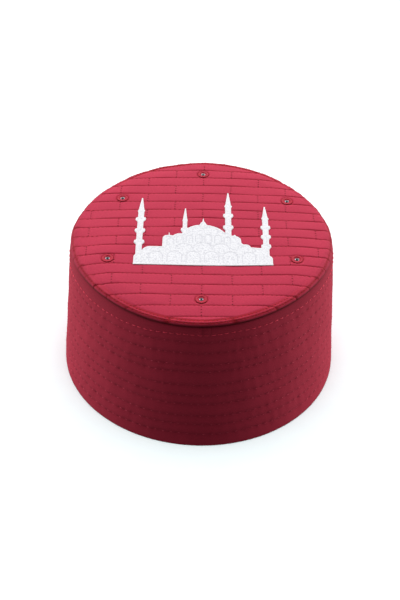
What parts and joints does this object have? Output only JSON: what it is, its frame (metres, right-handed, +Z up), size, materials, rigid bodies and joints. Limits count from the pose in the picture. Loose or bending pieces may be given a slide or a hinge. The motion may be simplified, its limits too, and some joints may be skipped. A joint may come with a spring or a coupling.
{
  "type": "turban cap",
  "caption": "Stiff quilted turban cap: flared padded side band, open below, sewn to a flat stitched crown with vent eyelets and a raised embroidered mosque.",
  "frame": {"origin": "middle of the hem, on the surface that the cap stands on", "axes": "+Z up from the hem to the crown, -Y to the front, where the embroidery has its base, +X to the wearer's left"},
  "size_m": [0.1906, 0.1906, 0.1064],
  "materials": {
    "crown_cloth": "matt quilted cotton, crimson",
    "band_cloth": "matt quilted cotton, crimson in running stitch",
    "eyelet_lacquer": "glossy red lacquer on the flange, bare metal in the bore",
    "white_thread": "satin stitch in white rayon thread"
  },
  "bodies": {
    "root": {"crown_panel": "crown_cloth", "side_band": "band_cloth", "eyelet_back": "eyelet_lacquer", "eyelet_left_back": "eyelet_lacquer", "eyelet_right_back": "eyelet_lacquer", "eyelet_left_front": "eyelet_lacquer", "eyelet_right_front": "eyelet_lacquer", "eyelet_front": "eyelet_lacquer", "mosque_embroidery": "white_thread"}
  },
  "joints": []
}
